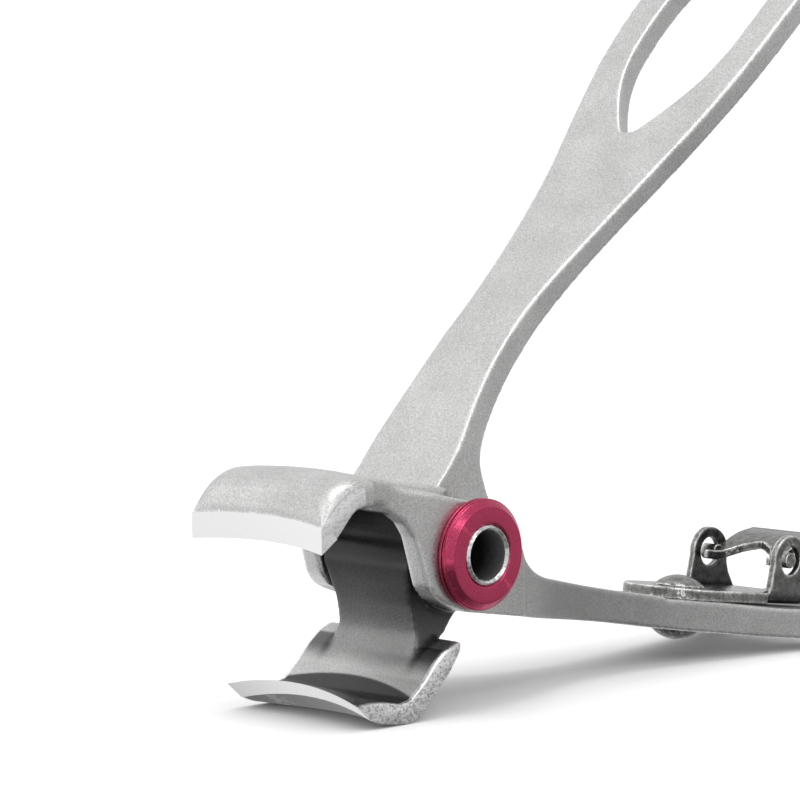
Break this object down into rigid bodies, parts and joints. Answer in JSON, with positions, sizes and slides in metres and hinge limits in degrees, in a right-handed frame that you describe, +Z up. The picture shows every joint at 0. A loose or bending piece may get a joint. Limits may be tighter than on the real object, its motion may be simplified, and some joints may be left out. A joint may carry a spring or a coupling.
{
  "type": "nail clipper",
  "caption": "Plier-type wide-mouth nail clipper: two crossed steel levers with looped handles, curved jaws, ringed hollow pivot, hidden opening spring and a lock lever.",
  "frame": {"origin": "centre of the hollow pivot tube, on the clipper's middle plane", "axes": "+X from the pivot towards the handle ends, +Y along the pivot towards the left side, +Z up with the clipper standing open on its lower jaw and lower handle"},
  "size_m": [0.1093, 0.022, 0.0807],
  "materials": {
    "satin_steel": "fine blasted satin, with bright ground faces at the cutting edges",
    "bright_steel": "bright turned steel",
    "red_anodised": "crimson anodised, turned",
    "spring_wire": "drawn spring wire",
    "nickel_steel": "nickel plated, glossy"
  },
  "bodies": {
    "upper_jaw_half": {"upper_jaw_lower_handle": "satin_steel", "pivot_tube": "bright_steel", "pivot_ring_right": "red_anodised", "pivot_ring_left": "red_anodised", "return_spring": "spring_wire", "lock_bracket": "nickel_steel", "bracket_rivet": "nickel_steel"},
    "lower_jaw_half": {"lower_jaw_upper_handle": "satin_steel"},
    "lock": {"lock_lever": "nickel_steel"}
  },
  "joints": [
    {"name": "squeeze", "type": "hinge", "parent": "upper_jaw_half", "child": "lower_jaw_half", "pos_m": [0, 0, 0], "axis": [0, 1, 0], "range_deg": [0, 42.8], "stiffness_Nm_per_rad": 0.12, "springref_deg": -20.05, "deforming": ["return_spring"]},
    {"name": "lock_swing", "type": "hinge", "parent": "upper_jaw_half", "child": "lock", "pos_m": [0.0508, 0, -0.00565], "axis": [0, -1, 0], "range_deg": [0, 84]}
  ]
}
